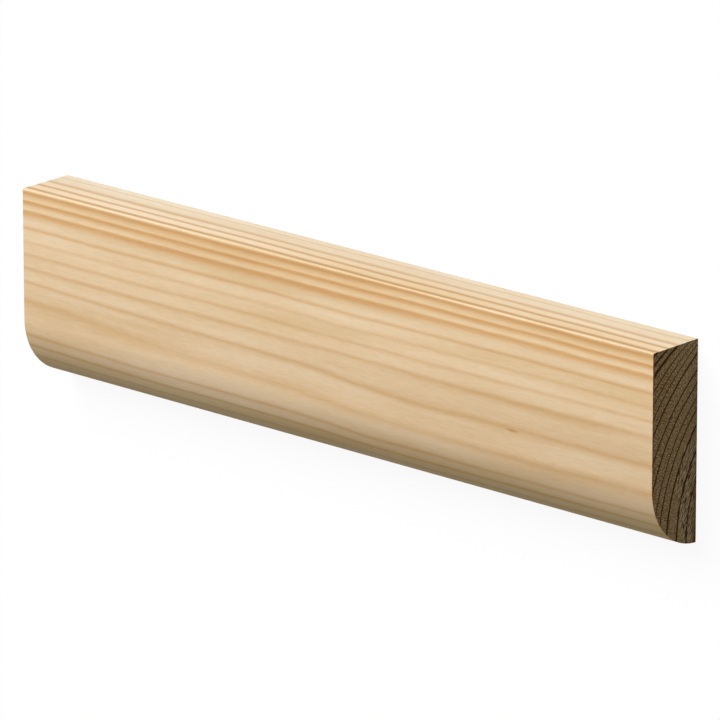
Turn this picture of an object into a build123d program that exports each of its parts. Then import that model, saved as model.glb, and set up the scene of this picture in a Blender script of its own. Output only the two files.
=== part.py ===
"""Bullnose architrave: one planed softwood moulding, sawn square at both ends.

The piece lies flat on its back. X runs along the grain, Y runs across the face
from the rounded nose (-Y) to the square outer edge (+Y), and Z rises from the
back (Z = 0) to the face. The origin is the middle of the back. Millimetres.
"""

import os
from math import acos, degrees, sin

from build123d import *

# Driving dimensions
LENGTH = 183.0  # between the sawn ends
WIDTH = 45.0  # across the face, from the nose to the square edge
THICKNESS = 14.5  # from the back to the face
NOSE_OVERCUT = 0.5  # by which the nose radius exceeds the thickness
ARRIS_RADIUS = 0.2  # easing that the planer leaves on each long arris

# The nose is an arc that leaves the face tangentially. Its radius is a little
# over the thickness, so it runs out through the back just short of a quarter.
nose_radius = THICKNESS + NOSE_OVERCUT
nose_sweep = acos(1 - THICKNESS / nose_radius)
nose_reach = nose_radius * sin(nose_sweep)

nose_side = -WIDTH / 2
square_side = WIDTH / 2

with BuildPart() as architrave:
    with BuildSketch(Plane.YZ) as section:
        with BuildLine():
            back = Line((nose_side, 0), (square_side, 0))
            square_edge = Line(back @ 1, (square_side, THICKNESS))
            face = Line(square_edge @ 1, (nose_side + nose_reach, THICKNESS))
            nose = JernArc(face @ 1, face % 1, nose_radius, degrees(nose_sweep))
        make_face()
        # Every corner is eased but the nearest to the start of the nose, where
        # the face runs smoothly into the arc.
        arrises = section.vertices().sort_by_distance(nose @ 0)[1:]
        fillet(arrises, ARRIS_RADIUS)
    extrude(amount=LENGTH / 2, both=True)

architrave.part.label = "architrave"

os.makedirs("parts", exist_ok=True)
export_step(architrave.part, "parts/architrave.step")
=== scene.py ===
"""Looks for the bullnose architrave: planed redwood pine with sawn end grain."""

from math import inf, pi, radians

import bpy
from mathutils import Matrix, Vector


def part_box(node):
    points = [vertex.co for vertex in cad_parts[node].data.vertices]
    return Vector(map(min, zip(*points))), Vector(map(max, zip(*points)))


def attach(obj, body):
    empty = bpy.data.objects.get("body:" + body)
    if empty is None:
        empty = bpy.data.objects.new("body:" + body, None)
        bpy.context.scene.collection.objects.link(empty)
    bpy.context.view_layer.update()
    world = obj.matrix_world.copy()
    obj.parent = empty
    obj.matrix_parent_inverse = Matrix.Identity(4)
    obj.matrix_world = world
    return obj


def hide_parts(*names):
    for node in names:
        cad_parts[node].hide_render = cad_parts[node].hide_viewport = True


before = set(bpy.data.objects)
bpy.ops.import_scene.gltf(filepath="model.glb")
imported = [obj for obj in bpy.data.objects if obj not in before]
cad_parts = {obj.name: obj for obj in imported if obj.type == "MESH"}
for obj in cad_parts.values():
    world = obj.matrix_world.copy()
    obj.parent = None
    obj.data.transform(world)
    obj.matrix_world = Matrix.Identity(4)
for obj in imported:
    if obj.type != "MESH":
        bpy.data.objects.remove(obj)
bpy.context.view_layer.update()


# The moulding: one length of slow-grown redwood pine. Square-edged board is run
# past cutters that round one edge and ease the arrises, and is then cross-cut. Its
# timber comes first, then its planed finish, its sawn finish and its shape.

MM = 0.001
MATH, VECTOR, RANGE = "ShaderNodeMath", "ShaderNodeVectorMath", "ShaderNodeMapRange"
SPLIT, JOIN = "ShaderNodeSeparateXYZ", "ShaderNodeCombineXYZ"
NOISE, MIX = "ShaderNodeTexNoise", "ShaderNodeMix"  # a mix takes values at 2 and 3, colours at 6 and 7


def add(tree, kind, inputs=(), **settings):
    """Adds one node with its settings. Its inputs, in order or by name, are values or what to link."""
    node = tree.nodes.new(kind)
    for name, value in settings.items():
        setattr(node, name, value)
    pairs = inputs.items() if isinstance(inputs, dict) else enumerate(inputs)
    for key, value in pairs:
        if isinstance(value, bpy.types.Node):
            value = value.outputs[0]
        if isinstance(value, bpy.types.NodeSocket):
            tree.links.new(value, node.inputs[key])
        else:
            node.inputs[key].default_value = value
    return node


low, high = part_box("architrave")
length, width, thickness = high - low

# The board was cut well away from the heart of the log, so its growth rings are
# shallow arcs about a pith that lies under the nose. Both finishes read the same
# rings, so that the lines meet at the arrises as they do in real timber.

# Each year from the pith outwards: its outer radius in millimetres, and how
# dense its latewood is. Closer, denser years lie under the square edge.
INNERMOST_MM = 27.0
YEARS = (
    (30.2, 0.50),
    (33.0, 0.55),
    (36.3, 0.60),
    (39.6, 0.50),
    (41.95, 0.56),
    (43.75, 0.68),
    (46.25, 0.42),
    (48.55, 0.58),
    (51.45, 0.53),
    (53.35, 0.52),
    (55.15, 0.32),
    (57.15, 0.46),
    (60.05, 0.85),
    (62.0, 0.93),
    (64.1, 0.93),
    (66.5, 0.60),
)
OUTERMOST_MM = YEARS[-1][0]
PITH_MM = Vector((0, -22.5, -29.5))  # across and up, at the right end
LEAN_MM = Vector((0, -3.5, 4.0))  # how far the pith has moved at the left end
# The lean's share along the piece from left to right, and by radius: it hardly
# reaches the years outside 51 mm.
LEAN_ALONG = (
    (0.0, 1.0),
    (0.11, 0.8),
    (0.22, 0.6),
    (0.45, 0.42),
    (0.55, 0.06),
    (0.62, -0.05),
    (0.8, -0.05),
    (1.0, 0.0),
)
LEAN_BY_RADIUS = (
    (27, 0.5),
    (44, 0.5),
    (46.3, 0.42),
    (48.4, 1.0),
    (50.0, 0.9),
    (51.4, 0.2),
    (53, 0.05),
    (57, 0),
    (65.0, 0),
)
# The log wasn't quite round: outside this radius, and below this angle at the
# pith, its years bend in towards the back corner of the square edge.
ROUND_TO_MM = 52.0
BENDS_BELOW = radians(54)
BEND = 5.3  # extra millimetres for each millimetre outside and square radian


def share_of(radius_mm):
    """A radius as a share of the way through the years."""
    return (radius_mm - INNERMOST_MM) / (OUTERMOST_MM - INNERMOST_MM)


def set_curve(node, points, handle="AUTO"):
    """Gives a curve node its points, from left to right."""
    curve = node.mapping.curves[0]
    for _ in points[2:]:
        curve.points.new(0.5, 0.5)
    for point, place in zip(curve.points, points):
        point.location = place
        point.handle_type = handle
    node.mapping.update()


rings = bpy.data.node_groups.new("annual_rings", "ShaderNodeTree")
for name in ("Latewood", "Density", "Angle", "Radius"):
    rings.interface.new_socket(name=name, in_out="OUTPUT", socket_type="NodeSocketFloat")
rings.interface.new_socket(name="Place", in_out="OUTPUT", socket_type="NodeSocketVector")

place = add(rings, "ShaderNodeTexCoord").outputs["Object"]
place_mm = add(rings, VECTOR, {0: place, "Scale": 1 / MM}, operation="SCALE")
along_mm = add(rings, SPLIT, (place_mm,)).outputs["X"]

# The pith leans: it nears the face towards the left end, most of all in the left
# half.
along = add(
    rings, RANGE, {"Value": along_mm, "From Min": low.x / MM, "From Max": high.x / MM}
)
lean = add(rings, "ShaderNodeFloatCurve", {"Value": along})
set_curve(lean, LEAN_ALONG)
upright = add(rings, VECTOR, (place_mm, PITH_MM), operation="SUBTRACT")
upright = add(rings, VECTOR, (upright, (0, 1, 1)), operation="MULTIPLY")
upright_radius = add(rings, VECTOR, (upright,), operation="LENGTH")
upright_span = add(
    rings,
    RANGE,
    {
        "Value": upright_radius.outputs["Value"],
        "From Min": INNERMOST_MM,
        "From Max": OUTERMOST_MM,
    },
)
lean_here = add(rings, "ShaderNodeFloatCurve", {"Value": upright_span})
set_curve(lean_here, [(share_of(mm), level) for mm, level in LEAN_BY_RADIUS])
lean_share = add(rings, MATH, (lean, lean_here), operation="MULTIPLY")
leaning = add(rings, VECTOR, {0: LEAN_MM, "Scale": lean_share}, operation="SCALE")
from_pith = add(rings, VECTOR, (upright, leaning), operation="SUBTRACT")
true_radius = add(rings, VECTOR, (from_pith,), operation="LENGTH").outputs["Value"]
pith_parts = add(rings, SPLIT, (from_pith,)).outputs
angle = add(rings, MATH, (pith_parts["Z"], pith_parts["Y"]), operation="ARCTAN2")

outside = add(rings, MATH, (true_radius, ROUND_TO_MM), operation="SUBTRACT")
outside = add(rings, MATH, (outside, 0.0), operation="MAXIMUM")
turned = add(rings, MATH, (BENDS_BELOW, angle), operation="SUBTRACT")
turned = add(rings, MATH, (turned, 0.0), operation="MAXIMUM")
turned = add(rings, MATH, (turned, turned), operation="MULTIPLY")
bend = add(rings, MATH, (turned, BEND), operation="MULTIPLY")
radius = add(rings, MATH, (outside, bend, true_radius), operation="MULTIPLY_ADD")


def grained(tree, place, grain_mm, levels, **settings):
    """Noise whose grains have these sizes in millimetres along the place's three axes."""
    squeezed = add(
        tree, VECTOR, (place, tuple(1 / size for size in grain_mm)), operation="MULTIPLY"
    )
    return add(tree, NOISE, {"Vector": squeezed, "Scale": 1.0, **levels}, **settings)


# Years don't grow evenly: the rings waver by up to 0.3 mm over 45 mm of length,
# and by under 0.1 mm over 12 mm. Each waver has its length, its width, the whole
# span of its noise in millimetres, and its seed.
WAVERS = ((45, 12, 0.75, 3.1), (12, 3.5, 0.22, 7.4))
for long_mm, across_mm, sway_mm, seed in WAVERS:
    wander = grained(
        rings,
        place_mm,
        (long_mm, across_mm, across_mm),
        {"W": seed, "Detail": 1.0},
        noise_dimensions="4D",
    )
    centred = add(rings, MATH, (wander, 0.5), operation="SUBTRACT")
    radius = add(rings, MATH, (centred, sway_mm, radius), operation="MULTIPLY_ADD")

# A curve turns the radius into a count of years, whose fraction is the season.
span = add(
    rings, RANGE, {"Value": radius, "From Min": INNERMOST_MM, "From Max": OUTERMOST_MM}
)
count = add(rings, "ShaderNodeFloatCurve", {"Value": span})
year_ends = [
    (share_of(outer_mm), year / len(YEARS)) for year, (outer_mm, _) in enumerate(YEARS, 1)
]
set_curve(count, [(0, 0)] + year_ends, "VECTOR")
years_grown = add(rings, MATH, (count, len(YEARS)), operation="MULTIPLY")
season = add(rings, MATH, (years_grown,), operation="FRACT")
density = add(rings, "ShaderNodeFloatCurve", {"Value": count})
middles = [((year + 0.5) / len(YEARS), dense) for year, (_, dense) in enumerate(YEARS)]
set_curve(density, middles)

# Latewood darkens slowly and stops sharply at the season's end. A dense year
# starts to darken early, a thin one only in its last third.
RIPENING = ((0.0, 0.0), (0.3, 0.2), (0.5, 0.5), (0.66, 0.82), (0.8, 1.0), (0.92, 1.0), (1.0, 0.7))
FADES_FROM, FADES_OVER = 0.68, 0.15  # darkness left at the stop, and how much of a season it takes
THIN_DENSITY, DENSE_DENSITY = 0.64, 0.95
THIN_ONSET, DENSE_ONSET = 0.64, 0.15  # when in the season such a year starts to darken
onset = add(
    rings,
    RANGE,
    {
        "Value": density,
        "From Min": THIN_DENSITY,
        "From Max": DENSE_DENSITY,
        "To Min": THIN_ONSET,
        "To Max": DENSE_ONSET,
    },
)
ripening = add(rings, RANGE, {"Value": season, "From Min": onset, "From Max": 1.0})
latewood = add(rings, "ShaderNodeValToRGB", (ripening,))
stops = latewood.color_ramp.elements
for _ in RIPENING[2:]:
    stops.new(0.5)
for stop, (at, dark) in zip(stops, RIPENING):
    stop.position = at
    stop.color = (dark, dark, dark, 1)
fading = add(
    rings,
    RANGE,
    {
        "Value": season,
        "From Min": 0.0,
        "From Max": FADES_OVER,
        "To Min": FADES_FROM,
        "To Max": 0.0,
    },
)
latewood = add(rings, MATH, (latewood, fading), operation="MAXIMUM")

results = {
    "Latewood": latewood,
    "Density": density,
    "Angle": angle,
    "Radius": radius,
    "Place": place_mm,
}
add(rings, "NodeGroupOutput", results)


# Planed redwood pine. Cutters leave it smooth and faintly silky: creamy wood with
# soft orange latewood and fine fibres. Painted shade darkens it a little towards the
# heart side by the nose, and painted light pales the square edge. It isn't sealed,
# so its sheen is broad and weak.


def linear(code):
    """An sRGB hex colour as linear RGBA."""
    parts = [int(code[i : i + 2], 16) / 255 for i in (1, 3, 5)]
    return (
        *(c / 12.92 if c <= 0.04045 else ((c + 0.055) / 1.055) ** 2.4 for c in parts),
        1,
    )


# Painted shade: the wood is a little darker on the heart side of the piece, which
# lies towards the nose, for the light falling off down the face. It is warmer on
# the bark side.
HEART_SIDE_MM, BARK_SIDE_MM = 44, 56
EARLYWOOD = linear("#E5CDAC"), linear("#EBD3B0")
LATEWOOD = linear("#CCA267"), linear("#D5A66F")
RESINOUS = linear("#F0D3AA")  # earlywood of the densest years
RESIN_DENSITY = 0.84, 0.95
# The square edge and the back take a paler, less yellow earlywood. This is painted
# light, for the brighter, cooler light that falls on the square edge. Near the face
# it turns warmer.
PAINTED_EDGE_LIGHT_EARLYWOOD = linear("#E9D9C1"), linear("#F1DBBC")
COVERED_LATEWOOD = linear("#BC925F")
WARMER_TOWARDS_FACE_MM = 57.9, 62.9
EDGE_OR_BACK_MM = 0.07, 0.01  # in from such a side, where its colour ends and where it is whole
# Painted shade: the face is a little darker to the right, most of all towards
# the nose.
PAINTED_FACE_SHADE = linear("#FFFFFF"), linear("#EFECE7")
PAINTED_FACE_SHADE_MM = 14.0, 0.0  # across the face, from where it is least to where it is whole
LEAST_FACE_SHADE = 0.2
NOSE_SHADE_TINT = linear("#FFFEEC")  # painted shade colour: the nose is a little yellower, as its shade is warmer
NOSE_SHADE_TINT_MM = 13.6, 11.6  # above the back, where that sets in

planed = bpy.data.materials.new("planed_redwood_pine")
planed.use_nodes = True
tree = planed.node_tree
shader = tree.nodes["Principled BSDF"]
wood = add(tree, "ShaderNodeGroup", node_tree=rings).outputs
where = add(tree, SPLIT, (wood["Place"],)).outputs


def coated(tree, ground, coats, blend="MIX"):
    """A ground's colour under coats, which are pairs of a share and a colour."""
    for share, colour in coats:
        ground = add(
            tree,
            MIX,
            {"Factor": share, 6: ground, 7: colour},
            data_type="RGBA",
            blend_type=blend,
        ).outputs[2]
    return ground


# Painted shade: darker towards the heart side, by the nose.
barkwards = add(
    tree,
    RANGE,
    {"Value": wood["Radius"], "From Min": HEART_SIDE_MM, "From Max": BARK_SIDE_MM},
    interpolation_type="SMOOTHSTEP",
)
resin = add(
    tree,
    RANGE,
    {"Value": wood["Density"], "From Min": RESIN_DENSITY[0], "From Max": RESIN_DENSITY[1]},
)
on_edge = add(
    tree,
    RANGE,
    {
        "Value": where["Y"],
        "From Min": high.y / MM - EDGE_OR_BACK_MM[0],
        "From Max": high.y / MM - EDGE_OR_BACK_MM[1],
    },
)
on_back = add(
    tree, RANGE, {"Value": where["Z"], "From Min": EDGE_OR_BACK_MM[0], "From Max": EDGE_OR_BACK_MM[1]}
)
edge_or_back = add(tree, MATH, (on_edge, on_back), operation="MAXIMUM")
warmer_towards_face = add(
    tree,
    RANGE,
    {"Value": wood["Radius"], "From Min": WARMER_TOWARDS_FACE_MM[0], "From Max": WARMER_TOWARDS_FACE_MM[1]},
)
# Painted light: the square edge's paler earlywood stands in for the light that falls there.
painted_edge_light_early = coated(tree, PAINTED_EDGE_LIGHT_EARLYWOOD[0], [(warmer_towards_face, PAINTED_EDGE_LIGHT_EARLYWOOD[1])])
early = coated(
    tree,
    EARLYWOOD[0],
    [(barkwards, EARLYWOOD[1]), (resin, RESINOUS), (edge_or_back, painted_edge_light_early)],
)
late = coated(tree, LATEWOOD[0], [(barkwards, LATEWOOD[1]), (edge_or_back, COVERED_LATEWOOD)])

# On the covered sides no light has drawn the resin out beside the lines, so they
# are narrower, and the thinner years' lines show up more. On the square edge they
# are strongest beside the face.
NARROW_FROM = 0.4  # of the latewood, where a covered line begins
FAINT_DENSITY, SHOWN_DENSITY = (0.2, 0.36), (0.2, 0.84)  # densities, and what they become
DEEPEN_MM = 5.0, 12.0  # above the back, from the weakest lines to the strongest
WEAKEST_LINES = 0.5
narrow_line = add(
    tree, RANGE, {"Value": wood["Latewood"], "From Min": NARROW_FROM, "From Max": 1.0}
)
line = add(tree, MIX, {"Factor": edge_or_back, 2: wood["Latewood"], 3: narrow_line})
edge_or_back_density = add(
    tree,
    RANGE,
    {
        "Value": wood["Density"],
        "From Min": FAINT_DENSITY[0],
        "From Max": FAINT_DENSITY[1],
        "To Min": SHOWN_DENSITY[0],
        "To Max": SHOWN_DENSITY[1],
    },
)
near_face = add(
    tree,
    RANGE,
    {
        "Value": where["Z"],
        "From Min": DEEPEN_MM[0],
        "From Max": DEEPEN_MM[1],
        "To Min": WEAKEST_LINES,
    },
)
near_face = add(tree, MATH, (near_face, on_back), operation="MAXIMUM")
edge_or_back_density = add(tree, MATH, (edge_or_back_density, near_face), operation="MULTIPLY")
density = add(tree, MIX, {"Factor": edge_or_back, 2: wood["Density"], 3: edge_or_back_density})
late_amount = add(tree, MATH, (line, density), operation="MULTIPLY")
ring_colour = coated(tree, early, [(late_amount, late)])

# Painted shade: the face darkens to the right and towards the nose.
along = add(
    tree, RANGE, {"Value": where["X"], "From Min": low.x / MM, "From Max": high.x / MM}
)
down_face = add(
    tree,
    RANGE,
    {
        "Value": where["Y"],
        "From Min": PAINTED_FACE_SHADE_MM[0],
        "From Max": PAINTED_FACE_SHADE_MM[1],
        "To Min": LEAST_FACE_SHADE,
    },
)
face_shade_share = add(tree, MATH, (along, down_face), operation="MULTIPLY")
# Painted shade colour: a warmer tint on the nose, for its shade.
down_nose = add(
    tree,
    RANGE,
    {"Value": where["Z"], "From Min": NOSE_SHADE_TINT_MM[0], "From Max": NOSE_SHADE_TINT_MM[1]},
)
painted_face_shade = coated(tree, PAINTED_FACE_SHADE[0], [(face_shade_share, PAINTED_FACE_SHADE[1])])
painted_face_shade = coated(tree, painted_face_shade, [(down_nose, NOSE_SHADE_TINT)], "MULTIPLY")
painted_face_shade = coated(tree, painted_face_shade, [(edge_or_back, PAINTED_FACE_SHADE[0])])

# Fibres: streaks 0.3 mm wide and 3 mm long, the finest that show. Mottle: slow
# changes of tone, 5 mm across and 60 mm along. The noise levels are where each
# starts and where it is whole.
FIBRE_MM, FIBRE_LEVELS = (3, 0.3, 0.3), (0.35, 0.75)
MOTTLE_MM, MOTTLE_LEVELS = (60, 5, 5), (0.35, 0.7)
FIBRE_DARK, FIBRE_MOST = linear("#E6D8C0"), 0.36
MOTTLE_DARK = linear("#F4ECDD")
fibres = grained(tree, wood["Place"], FIBRE_MM, {"Detail": 3.0, "Roughness": 0.6})
fibre_share = add(
    tree,
    RANGE,
    {
        "Value": fibres,
        "From Min": FIBRE_LEVELS[0],
        "From Max": FIBRE_LEVELS[1],
        "To Max": FIBRE_MOST,
    },
)
mottle = grained(tree, wood["Place"], MOTTLE_MM, {"Detail": 2.0})
mottle_share = add(
    tree, RANGE, {"Value": mottle, "From Min": MOTTLE_LEVELS[0], "From Max": MOTTLE_LEVELS[1]}
)
toned = coated(
    tree,
    ring_colour,
    [(1.0, painted_face_shade), (fibre_share, FIBRE_DARK), (mottle_share, MOTTLE_DARK)],
    "MULTIPLY",
)


def from_spot(tree, place, middle, reach):
    """How far a place is from the middle of a spot, counted in the spot's own reach."""
    offset = add(tree, VECTOR, (place, middle), operation="SUBTRACT")
    offset = add(tree, VECTOR, (offset, tuple(1 / size for size in reach)), operation="MULTIPLY")
    return add(tree, VECTOR, (offset,), operation="LENGTH").outputs["Value"]


# One resin streak, 5 mm long, lies on a latewood line near the right end.
STREAK_AT_MM, STREAK_REACH_MM = (52.5, -2.7, 14.5), (2.6, 0.5, 0.5)
STREAK, STREAK_MOST = linear("#A9743C"), 0.7
from_streak = from_spot(tree, wood["Place"], STREAK_AT_MM, STREAK_REACH_MM)
streak_share = add(
    tree,
    RANGE,
    {"Value": from_streak, "From Min": 1.0, "From Max": 0.0, "To Max": STREAK_MOST},
    interpolation_type="SMOOTHSTEP",
)
tree.links.new(coated(tree, toned, [(streak_share, STREAK)]), shader.inputs["Base Color"])

# Latewood is denser and shines a little more. Cutters press it less than the soft
# wood, so it stands a little proud.
EARLY_ROUGHNESS, LATE_ROUGHNESS = 0.7, 0.58
LATE_RISE = 0.8  # against the height of the fibres
RELIEF_MM = 0.05
shader.inputs["IOR"].default_value = 1.5
shader.inputs["Specular IOR Level"].default_value = 0.16
roughness = add(
    tree, RANGE, {"Value": late_amount, "To Min": EARLY_ROUGHNESS, "To Max": LATE_ROUGHNESS}
)
tree.links.new(roughness.outputs[0], shader.inputs["Roughness"])
relief = add(tree, MATH, (late_amount, LATE_RISE, fibres), operation="MULTIPLY_ADD")
bump = add(
    tree, "ShaderNodeBump", {"Strength": 0.3, "Distance": RELIEF_MM * MM, "Height": relief}
)
tree.links.new(bump.outputs[0], shader.inputs["Normal"])


# Sawn end grain. A cross-cut blade leaves the open ends of the fibres, which
# take up dust and moisture and look several shades darker than the face. The
# latewood is nearly black, and torn fibres show as pale specks along the rays.

END_EARLY = linear("#9A7D56"), linear("#987747")  # greyer and yellower patches
PATCH_MM, PATCH_LEVELS = 6, (0.38, 0.62)
END_PAINTED_BACK_LIGHT, PAINTED_BACK_LIGHT_MOST = linear("#D0AC7D"), 0.52  # painted light: paler towards the back, against the shade by the table
END_LATE = linear("#4A300F")
END_LATE_FROM, END_LATE_WHOLE = 0.45, 0.9  # of the latewood
TUFT = linear("#DCC79A")
PIT = linear("#38270D")

sawn = bpy.data.materials.new("sawn_end_grain")
sawn.use_nodes = True
tree = sawn.node_tree
shader = tree.nodes["Principled BSDF"]
wood = add(tree, "ShaderNodeGroup", node_tree=rings).outputs
where = add(tree, SPLIT, (wood["Place"],)).outputs

patches = grained(tree, wood["Place"], (PATCH_MM,) * 3, {"Detail": 1.0})
patch_share = add(
    tree, RANGE, {"Value": patches, "From Min": PATCH_LEVELS[0], "From Max": PATCH_LEVELS[1]}
)
# Painted light: the end is paler towards the back, against the table's shade.
painted_back_light = add(
    tree,
    RANGE,
    {"Value": where["Z"], "From Min": high.z / MM, "From Max": 0.0, "To Max": PAINTED_BACK_LIGHT_MOST},
)
end_late = add(
    tree,
    RANGE,
    {"Value": wood["Latewood"], "From Min": END_LATE_FROM, "From Max": END_LATE_WHOLE},
)
end_rings = coated(
    tree,
    END_EARLY[0],
    [(patch_share, END_EARLY[1]), (painted_back_light, END_PAINTED_BACK_LIGHT), (end_late, END_LATE)],
)

# Where the blade came out, low down by the back, it tore the wood. The torn patch
# has no limit along the piece, so both ends have it.
TORN_AT_MM, TORN_REACH_MM = (0, -11.0, 2.4), (inf, 13.0, 4.4)
TORN_FROM, TORN_WHOLE = 1.1, 0.7  # of that reach
torn_share = add(
    tree,
    RANGE,
    {
        "Value": from_spot(tree, wood["Place"], TORN_AT_MM, TORN_REACH_MM),
        "From Min": TORN_FROM,
        "From Max": TORN_WHOLE,
    },
    interpolation_type="SMOOTHSTEP",
)

# Where the cut is clean, specks 0.3 by 0.7 mm lie along the rays, which run
# outwards. Torn fibres, 0.24 by 1.7 mm, lie the way the blade went, upwards and
# towards the back. Both are drawn coarse enough to show.
SPECK_MM, TORN_FIBRE_MM = (0.7, 0.3, 1), (1.7, 0.24, 1)
MEAN_RADIUS_MM = 50
BLADE_WAY = Vector((0, 0.9, -0.44))
TORN_CONTRAST = 0.19, 0.8  # noise levels that are spread over the whole range
TUFT_LEVELS, PIT_LEVELS = (0.49, 0.62), (0.46, 0.34)  # where each starts and is whole
CLEAN_STRENGTH = 0.55  # of specks and pits where nothing is torn
arc = add(tree, MATH, (wood["Angle"], MEAN_RADIUS_MM), operation="MULTIPLY")
on_rays = add(tree, JOIN, (wood["Radius"], arc))
with_blade, off_blade = (
    add(tree, VECTOR, (wood["Place"], way), operation="DOT_PRODUCT").outputs["Value"]
    for way in (BLADE_WAY, Vector((0, -BLADE_WAY.z, BLADE_WAY.y)))
)
on_tear = add(tree, JOIN, (with_blade, off_blade))
specks = grained(tree, on_rays, SPECK_MM, {"Detail": 1.0})
torn_fibres = grained(tree, on_tear, TORN_FIBRE_MM, {"Detail": 1.0})
crisp_fibres = add(
    tree,
    RANGE,
    {"Value": torn_fibres, "From Min": TORN_CONTRAST[0], "From Max": TORN_CONTRAST[1]},
)
texture = add(tree, MIX, {"Factor": torn_share, 2: specks, 3: crisp_fibres})
tuft_share, pit_share = (
    add(tree, RANGE, {"Value": texture, "From Min": starts, "From Max": whole})
    for starts, whole in (TUFT_LEVELS, PIT_LEVELS)
)
strength = add(
    tree, RANGE, {"Value": torn_share, "To Min": CLEAN_STRENGTH, "To Max": 1.0}
)
on_earlywood = add(tree, MATH, (1.0, end_late), operation="SUBTRACT")
tuft_share = add(tree, MATH, (tuft_share, strength), operation="MULTIPLY")
tuft_share = add(tree, MATH, (tuft_share, on_earlywood), operation="MULTIPLY")
pit_share = add(tree, MATH, (pit_share, strength), operation="MULTIPLY")

# The cut browns the rim of the face, and the low back corner where it broke out.
END_RIM = linear("#965F36")
FACE_RIM_MM, FACE_RIM_MOST = (0.9, 0.1), 0.5  # under the face
BACK_RIM_MM, BACK_RIM_MOST = (2.0, 0.3), 0.65  # above the back
BACK_RIM_ACROSS_MM = -6, -11  # across the piece, where that corner sets in
face_rim = add(
    tree,
    RANGE,
    {
        "Value": where["Z"],
        "From Min": high.z / MM - FACE_RIM_MM[0],
        "From Max": high.z / MM - FACE_RIM_MM[1],
        "To Max": FACE_RIM_MOST,
    },
)
back_rim = add(
    tree,
    RANGE,
    {
        "Value": where["Z"],
        "From Min": BACK_RIM_MM[0],
        "From Max": BACK_RIM_MM[1],
        "To Max": BACK_RIM_MOST,
    },
)
low_down = add(
    tree,
    RANGE,
    {
        "Value": where["Y"],
        "From Min": BACK_RIM_ACROSS_MM[0],
        "From Max": BACK_RIM_ACROSS_MM[1],
    },
)
back_rim = add(tree, MATH, (back_rim, low_down), operation="MULTIPLY")
rim = add(tree, MATH, (face_rim, back_rim), operation="MAXIMUM")
end_colour = coated(tree, end_rings, [(tuft_share, TUFT), (pit_share, PIT), (rim, END_RIM)])
tree.links.new(end_colour, shader.inputs["Base Color"])

FUZZ_RELIEF_MM = 0.15
shader.inputs["Roughness"].default_value = 0.9
shader.inputs["IOR"].default_value = 1.5
shader.inputs["Specular IOR Level"].default_value = 0.03
bump = add(
    tree, "ShaderNodeBump", {"Strength": 0.6, "Distance": FUZZ_RELIEF_MM * MM, "Height": texture}
)
tree.links.new(bump.outputs[0], shader.inputs["Normal"])


# The shape. The tree below cuts a block to the moulding's section, height by
# height: flat back, square edge, flat face, and a nose that leaves the face
# smoothly and runs out through the back at a corner.

NOSE_OVERCUT = 0.5 * MM  # by which the nose radius exceeds the thickness
ARRIS_RADIUS = 0.2 * MM
SAW_DEPTH = 0.10 * MM
TORN_DEPTH = 0.22 * MM
CUTS_ALONG, CUTS_ACROSS, CUTS_UP = 130, 150, 56
EVEN_OUT = 0.6  # how far the cuts across draw together towards both edges
JUST_SHORT = 0.4999  # of the length, from the middle, past which all belongs to an end

section = bpy.data.node_groups.new("run_moulding", "GeometryNodeTree")
section.interface.new_socket(
    name="Moulding", in_out="OUTPUT", socket_type="NodeSocketGeometry"
)
sizes = {
    "Length": length,
    "Width": width,
    "Thickness": thickness,
    "Nose radius": thickness + NOSE_OVERCUT,
    "Arris radius": ARRIS_RADIUS,
    "Saw depth": SAW_DEPTH,
    "Torn depth": TORN_DEPTH,
}
finishes = {"Planed finish": planed, "Sawn finish": sawn}
socket_ids = {}
for names, kind in ((sizes, "NodeSocketFloat"), (finishes, "NodeSocketMaterial")):
    for name in names:
        socket = section.interface.new_socket(name=name, in_out="INPUT", socket_type=kind)
        socket_ids[name] = socket.identifier
given = add(section, "NodeGroupInput").outputs

# The block is 2 across and 2 up, so its places there run from -1 to 1.
block_size = add(section, JOIN, (given["Length"], 2.0, 2.0))
block = add(
    section,
    "GeometryNodeMeshCube",
    {
        "Size": block_size,
        "Vertices X": CUTS_ALONG,
        "Vertices Y": CUTS_ACROSS,
        "Vertices Z": CUTS_UP,
    },
)
normal = add(section, "GeometryNodeInputNormal")
facing = add(section, VECTOR, (normal,), operation="ABSOLUTE")
facing_x = add(section, SPLIT, (facing,)).outputs["X"]
marked = add(section, "GeometryNodeCaptureAttribute", (block.outputs["Mesh"],), domain="FACE")
marked.capture_items.new("FLOAT", "Sawn")
section.links.new(facing_x, marked.inputs["Sawn"])

# The heights follow a sine, so the cuts up are closest at the back and the face.
start = add(section, SPLIT, (add(section, "GeometryNodeInputPosition"),)).outputs
turn = add(section, MATH, (start["Z"], pi / 2), operation="MULTIPLY")
rise = add(section, MATH, (turn,), operation="SINE")
rise_share = add(section, MATH, (rise, 0.5, 0.5), operation="MULTIPLY_ADD")
height = add(section, MATH, (rise_share, given["Thickness"]), operation="MULTIPLY")

# How far an eased arris draws the side in, at a height above or below it.
below_face = add(section, MATH, (given["Thickness"], height), operation="SUBTRACT")
nearest = add(section, MATH, (height, below_face), operation="MINIMUM")
eased = given["Arris radius"]
eased_squared = add(section, MATH, (eased, eased), operation="MULTIPLY")
drawn_in = []
for from_arris in (nearest, height):
    short = add(section, MATH, (eased, from_arris), operation="SUBTRACT")
    short = add(section, MATH, (short, 0.0), operation="MAXIMUM")
    short_squared = add(section, MATH, (short, short), operation="MULTIPLY")
    chord = add(section, MATH, (eased_squared, short_squared), operation="SUBTRACT")
    chord = add(section, MATH, (chord,), operation="SQRT")
    drawn_in.append(add(section, MATH, (eased, chord), operation="SUBTRACT"))
half_width = add(section, MATH, (given["Width"], 0.5), operation="MULTIPLY")
square_side = add(section, MATH, (half_width, drawn_in[0]), operation="SUBTRACT")

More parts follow.
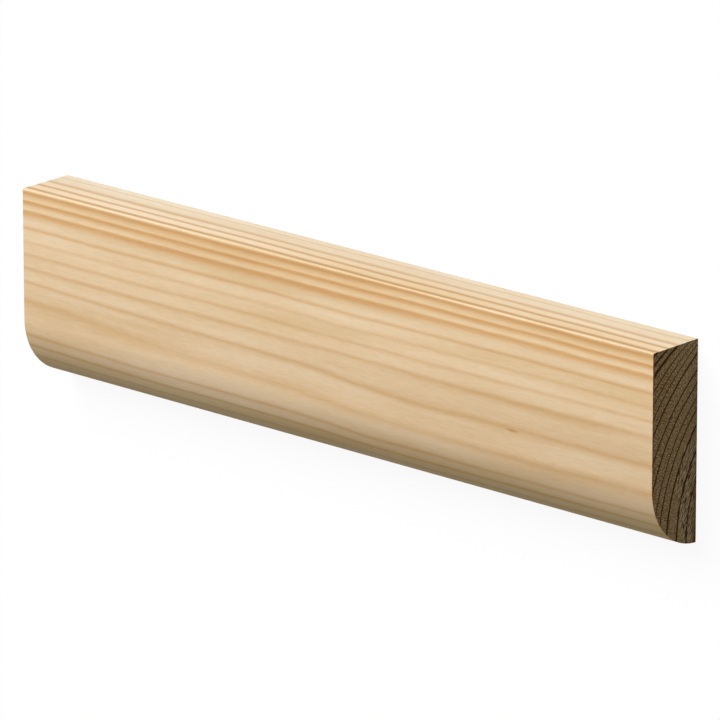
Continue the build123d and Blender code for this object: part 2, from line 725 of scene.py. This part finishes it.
# The nose: half the chord of its circle at this height and at the back.
nose = given["Nose radius"]
nose_squared = add(section, MATH, (nose, nose), operation="MULTIPLY")
reaches = []
for depth in (below_face, given["Thickness"]):
    above_centre = add(section, MATH, (nose, depth), operation="SUBTRACT")
    above_squared = add(section, MATH, (above_centre, above_centre), operation="MULTIPLY")
    reach = add(section, MATH, (nose_squared, above_squared), operation="SUBTRACT")
    reaches.append(add(section, MATH, (reach,), operation="SQRT"))
short_of_back = add(section, MATH, (reaches[1], reaches[0]), operation="SUBTRACT")
nose_inset = add(section, MATH, (short_of_back, drawn_in[1]), operation="ADD")
nose_side = add(section, MATH, (nose_inset, half_width), operation="SUBTRACT")

swell = add(section, MATH, (start["Y"], pi), operation="MULTIPLY")
swell = add(section, MATH, (swell,), operation="SINE")
spread = add(section, MATH, (swell, EVEN_OUT / pi, start["Y"]), operation="MULTIPLY_ADD")
across = add(
    section,
    RANGE,
    {
        "Value": spread,
        "From Min": -1.0,
        "From Max": 1.0,
        "To Min": nose_side,
        "To Max": square_side,
    },
)
cut_place = add(section, JOIN, (start["X"], across, height))
shaped = add(
    section,
    "GeometryNodeSetPosition",
    {"Geometry": marked.outputs["Geometry"], "Position": cut_place},
)

# The cross-cut: fine fuzz all over both ends, and a coarser torn patch low down
# near the back, where the blade came out. All of it goes inwards.
FUZZ_MM, TEAR_MM = 0.9, 1.1
TEAR_LEVELS = 0.5, 0.72  # noise levels where a tear starts and is deepest
DEEPEST_WITHIN = 0.5  # of the torn patch's reach
WHOLE_BACK_MM = 0.3, 1.3  # above the back, where tears set in
now = add(section, "GeometryNodeInputPosition")
now_parts = add(section, SPLIT, (now,)).outputs
fuzz = add(section, NOISE, {"Vector": now, "Scale": 1 / (FUZZ_MM * MM), "Detail": 1.0})
tears = add(section, NOISE, {"Vector": now, "Scale": 1 / (TEAR_MM * MM), "Detail": 2.0})
tear_share = add(
    section, RANGE, {"Value": tears, "From Min": TEAR_LEVELS[0], "From Max": TEAR_LEVELS[1]}
)
torn_at, torn_reach = (
    tuple(size * MM for size in sizes_mm) for sizes_mm in (TORN_AT_MM, TORN_REACH_MM)
)
torn_mask = add(
    section,
    RANGE,
    {
        "Value": from_spot(section, now, torn_at, torn_reach),
        "From Min": 1.0,
        "From Max": DEEPEST_WITHIN,
    },
)
off_back = add(
    section,
    RANGE,
    {
        "Value": now_parts["Z"],
        "From Min": WHOLE_BACK_MM[0] * MM,
        "From Max": WHOLE_BACK_MM[1] * MM,
    },
)
torn = add(section, MATH, (tear_share, torn_mask), operation="MULTIPLY")
torn = add(section, MATH, (torn, off_back), operation="MULTIPLY")
torn_depth = add(section, MATH, (torn, given["Torn depth"]), operation="MULTIPLY")
dents = add(section, MATH, (fuzz, given["Saw depth"], torn_depth), operation="MULTIPLY_ADD")
end_side = add(section, MATH, (now_parts["X"],), operation="SIGN")
inwards = add(section, MATH, (end_side, -1.0), operation="MULTIPLY")
dent_x = add(section, MATH, (dents, inwards), operation="MULTIPLY")
dent = add(section, JOIN, (dent_x, 0.0, 0.0))
end_from = add(section, MATH, (given["Length"], JUST_SHORT), operation="MULTIPLY")
out_x = add(section, MATH, (now_parts["X"],), operation="ABSOLUTE")
at_end = add(section, MATH, (out_x, end_from), operation="GREATER_THAN")
sawn_off = add(
    section,
    "GeometryNodeSetPosition",
    {"Geometry": shaped, "Selection": at_end, "Offset": dent},
)

# Smooth all round, but crisp where the ends are cut.
CRISP_FROM = radians(35)
smooth = add(section, "GeometryNodeSetShadeSmooth", {"Geometry": sawn_off})
edge_angle = add(section, "GeometryNodeInputMeshEdgeAngle")
sharp = add(section, MATH, (edge_angle, CRISP_FROM), operation="GREATER_THAN")
crisp = add(
    section,
    "GeometryNodeSetShadeSmooth",
    {"Geometry": smooth, "Selection": sharp, "Shade Smooth": False},
    domain="EDGE",
)
realized = add(section, "GeometryNodeRealizeInstances", (crisp,))
with_planed = add(
    section,
    "GeometryNodeSetMaterial",
    {"Geometry": realized, "Material": given["Planed finish"]},
)
is_sawn = add(section, MATH, (marked.outputs["Sawn"], 0.5), operation="GREATER_THAN")
with_sawn = add(
    section,
    "GeometryNodeSetMaterial",
    {"Geometry": with_planed, "Selection": is_sawn, "Material": given["Sawn finish"]},
)
add(section, "NodeGroupOutput", (with_sawn,))

moulding = bpy.data.objects.new("planed_moulding", bpy.data.meshes.new("planed_moulding"))
bpy.context.scene.collection.objects.link(moulding)
run = moulding.modifiers.new("run_moulding", "NODES")
run.node_group = section
for name, value in {**sizes, **finishes}.items():
    run[socket_ids[name]] = value
evaluated = moulding.evaluated_get(bpy.context.evaluated_depsgraph_get())
moulding.data = bpy.data.meshes.new_from_object(evaluated)
moulding.modifiers.clear()
moulding.data.name = "planed_moulding"

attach(moulding, "root")
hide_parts("architrave")


# The studio: a plain white table, which shows white behind the moulding, with
# its soft shadow on it, and sends back only a little light of its own.

FLOOR_HALF = 3.0
FLOOR_BOUNCE = 0.3  # what light on the object finds the table to be
SHADOW_FILL = 0.92  # how much of the table's white needs no lamp
WHITE = (1, 1, 1, 1)


def seen(tree):
    """1 for what the camera sees, also mirrored or through glass, and 0 for light on the object."""
    rays = add(tree, "ShaderNodeLightPath").outputs
    plainly = add(tree, MATH, (rays["Is Camera Ray"], rays["Is Glossy Ray"]), operation="MAXIMUM")
    return add(tree, MATH, (plainly, rays["Is Transmission Ray"]), operation="MAXIMUM")


floor_mesh = bpy.data.meshes.new("table")
corners = [(x * FLOOR_HALF, y * FLOOR_HALF, 0) for x, y in ((-1, -1), (1, -1), (1, 1), (-1, 1))]
floor_mesh.from_pydata(corners, [], [(0, 1, 2, 3)])
floor = bpy.data.objects.new("table", floor_mesh)
bpy.context.scene.collection.objects.link(floor)

white_table = bpy.data.materials.new("matt_white_table")
white_table.use_nodes = True
tree = white_table.node_tree
tree.nodes.clear()
plain = add(tree, "ShaderNodeBsdfDiffuse", {"Color": (FLOOR_BOUNCE,) * 3 + (1,)})
white = add(tree, "ShaderNodeBsdfDiffuse", {"Color": WHITE})
glow = add(tree, "ShaderNodeEmission", {"Color": WHITE, "Strength": 1.0})
white_seen = add(tree, "ShaderNodeMixShader", (SHADOW_FILL, white, glow))
table_look = add(tree, "ShaderNodeMixShader", (seen(tree), plain, white_seen))
add(tree, "ShaderNodeOutputMaterial", {"Surface": table_look})
floor_mesh.materials.append(white_table)

# Light: a broad key from above the square edge, and an even grey dome.
KEY_FROM = Vector((-0.25, 0.714, 0.653))
KEY_LEVEL = 1.148
KEY_BREADTH = radians(35)
DOME_LEVEL = 0.25

key_data = bpy.data.lights.new("key", "SUN")
key_data.energy = KEY_LEVEL * pi
key_data.angle = KEY_BREADTH
key = bpy.data.objects.new("key", key_data)
key.rotation_euler = KEY_FROM.to_track_quat("Z", "Y").to_euler()
bpy.context.scene.collection.objects.link(key)

world = bpy.data.worlds.new("studio")
bpy.context.scene.world = world
world.use_nodes = True
tree = world.node_tree
tree.nodes.clear()
dome = add(tree, "ShaderNodeBackground", {"Color": WHITE, "Strength": DOME_LEVEL})
backdrop = add(tree, "ShaderNodeBackground", {"Color": WHITE, "Strength": 1.0})
sky = add(tree, "ShaderNodeMixShader", (seen(tree), dome, backdrop))
add(tree, "ShaderNodeOutputWorld", {"Surface": sky})

# Camera: a long lens from the nose side of the right end, turned on its side
# so that the square edge is at the top of the picture.
AIM = Vector((1.42, 0.19, 5.89)) * MM
TOWARDS_CAMERA = Vector((0.6392, 0.2996, 0.7083))
DISTANCE = 1.894
LENS_PX = 8760  # the focal length in the picture's pixels
FRAME_PX = 720
SENSOR = 36
SEES_TO = 20

back = TOWARDS_CAMERA.normalized()
right = Vector((0, 1, 0)).cross(back).normalized()
up = back.cross(right)
spot = AIM + back * DISTANCE
camera_data = bpy.data.cameras.new("camera")
camera_data.sensor_width = SENSOR
camera_data.lens = LENS_PX / FRAME_PX * SENSOR
camera_data.clip_end = SEES_TO
camera = bpy.data.objects.new("camera", camera_data)
camera.matrix_world = Matrix(
    (
        (right.x, up.x, back.x, spot.x),
        (right.y, up.y, back.y, spot.y),
        (right.z, up.z, back.z, spot.z),
        (0, 0, 0, 1),
    )
)
bpy.context.scene.collection.objects.link(camera)
bpy.context.scene.camera = camera
bpy.context.scene.view_settings.view_transform = "Standard"
